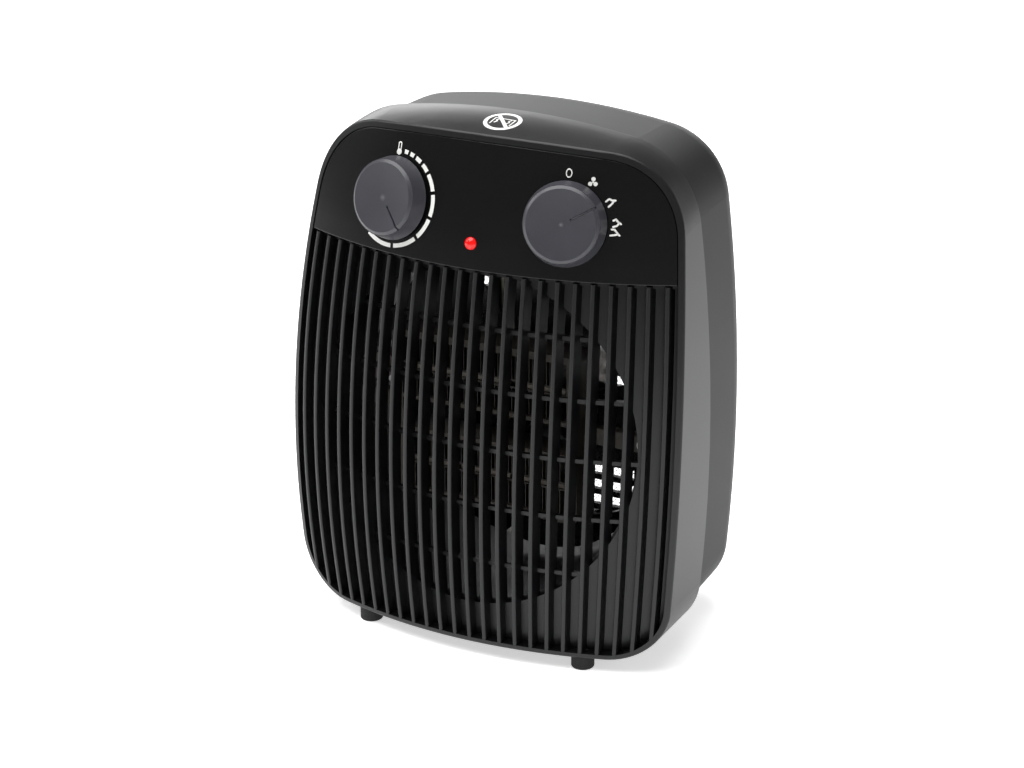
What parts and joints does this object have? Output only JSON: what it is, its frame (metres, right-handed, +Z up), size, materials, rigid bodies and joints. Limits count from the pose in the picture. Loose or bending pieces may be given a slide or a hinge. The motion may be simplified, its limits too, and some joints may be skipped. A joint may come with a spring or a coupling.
{
  "type": "ceramic fan heater",
  "caption": "Upright ceramic fan heater with a domed ribbed grille, turning dials, a round fan duct and finned heating blocks inside.",
  "frame": {"origin": "on the floor under the middle of the casing", "axes": "+X to the right seen from the front, +Y towards the back, +Z up"},
  "size_m": [0.1988, 0.118, 0.2479],
  "materials": {
    "casing_plastic": "fine satin grain, black",
    "panel_plastic": "smooth satin black",
    "rear_plastic": "fine grain, black",
    "screen_mesh": "woven mesh, black",
    "inner_plastic": "moulded, black",
    "foot_rubber": "moulded rubber, black",
    "screw_steel": "zinc plated",
    "duct_plastic": "glass filled, dark",
    "bracket_steel": "galvanised sheet",
    "fan_plastic": "moulded, glossy black",
    "shaft_steel": "ground bar",
    "brass_metal": "turned brass",
    "rotor_steel": "laminated steel with cast bars",
    "stator_steel": "laminated steel, varnished",
    "bobbin_plastic": "moulded nylon, natural",
    "copper_wire": "enamelled copper wire under tape",
    "copper_bar": "copper",
    "cast_aluminium": "die cast",
    "frame_plastic": "heat resistant, dark",
    "element_ceramic": "fired ceramic",
    "sheet_aluminium": "rolled sheet",
    "cutout_plastic": "phenolic, dark",
    "fuse_metal": "plated can",
    "spacer_ceramic": "steatite, white",
    "switch_plastic": "moulded nylon",
    "spindle_plastic": "moulded acetal",
    "knob_plastic": "satin black",
    "lens_red": "clear red",
    "lamp_glass": "clear",
    "block_plastic": "moulded polyamide"
  },
  "bodies": {
    "casing": {"front_cover": "casing_plastic", "control_panel": "panel_plastic", "rear_cover": "rear_plastic", "dust_screen": "screen_mesh", "screen_ring": "inner_plastic", "rubber_feet": "foot_rubber", "cover_screws": "screw_steel", "fan_duct": "duct_plastic", "duct_screws": "screw_steel", "motor_bracket": "bracket_steel", "bracket_screws": "screw_steel", "motor_stator": "stator_steel", "coil_bobbin": "bobbin_plastic", "motor_coil": "copper_wire", "shading_rings": "copper_bar", "front_bearing_plate": "cast_aluminium", "front_bearing_bush": "brass_metal", "rear_bearing_plate": "cast_aluminium", "rear_bearing_bush": "brass_metal", "motor_spacers": "screw_steel", "motor_screws": "screw_steel", "motor_nuts": "screw_steel", "heater_frame": "frame_plastic", "heater_screws": "screw_steel", "heater_stones": "element_ceramic", "heater_electrodes": "sheet_aluminium", "heater_fins": "sheet_aluminium", "thermal_cutout": "cutout_plastic", "cutout_clip": "bracket_steel", "thermal_fuse": "fuse_metal", "thermostat_frame": "bracket_steel", "thermostat_spacers": "spacer_ceramic", "thermostat_blades": "brass_metal", "thermostat_screws": "screw_steel", "switch_plate": "bracket_steel", "switch_body": "switch_plastic", "switch_terminals": "brass_metal", "switch_screws": "screw_steel", "indicator_lens": "lens_red", "lamp_holder": "inner_plastic", "neon_lamp": "lamp_glass", "terminal_block": "block_plastic", "terminal_screws": "screw_steel"},
    "thermostat_dial": {"thermostat_knob": "knob_plastic", "thermostat_spindle": "spindle_plastic"},
    "switch_dial": {"switch_knob": "knob_plastic", "switch_spindle": "spindle_plastic"},
    "fan": {"impeller": "fan_plastic", "motor_shaft": "shaft_steel", "shaft_nut": "brass_metal", "motor_rotor": "rotor_steel"}
  },
  "joints": [
    {"name": "thermostat_turn", "type": "hinge", "parent": "casing", "child": "thermostat_dial", "pos_m": [-0.0427, -0.03598, 0.21015], "axis": [0.2009, 0.9435, -0.2634], "range_deg": [-137, 80]},
    {"name": "switch_turn", "type": "hinge", "parent": "casing", "child": "switch_dial", "pos_m": [0.0427, -0.03598, 0.21015], "axis": [-0.2009, 0.9435, -0.2634], "range_deg": [-60, 30]},
    {"name": "fan_spin", "type": "hinge", "parent": "casing", "child": "fan", "pos_m": [0, 0.001, 0.1055], "axis": [0, -1, 0], "continuous": true}
  ]
}
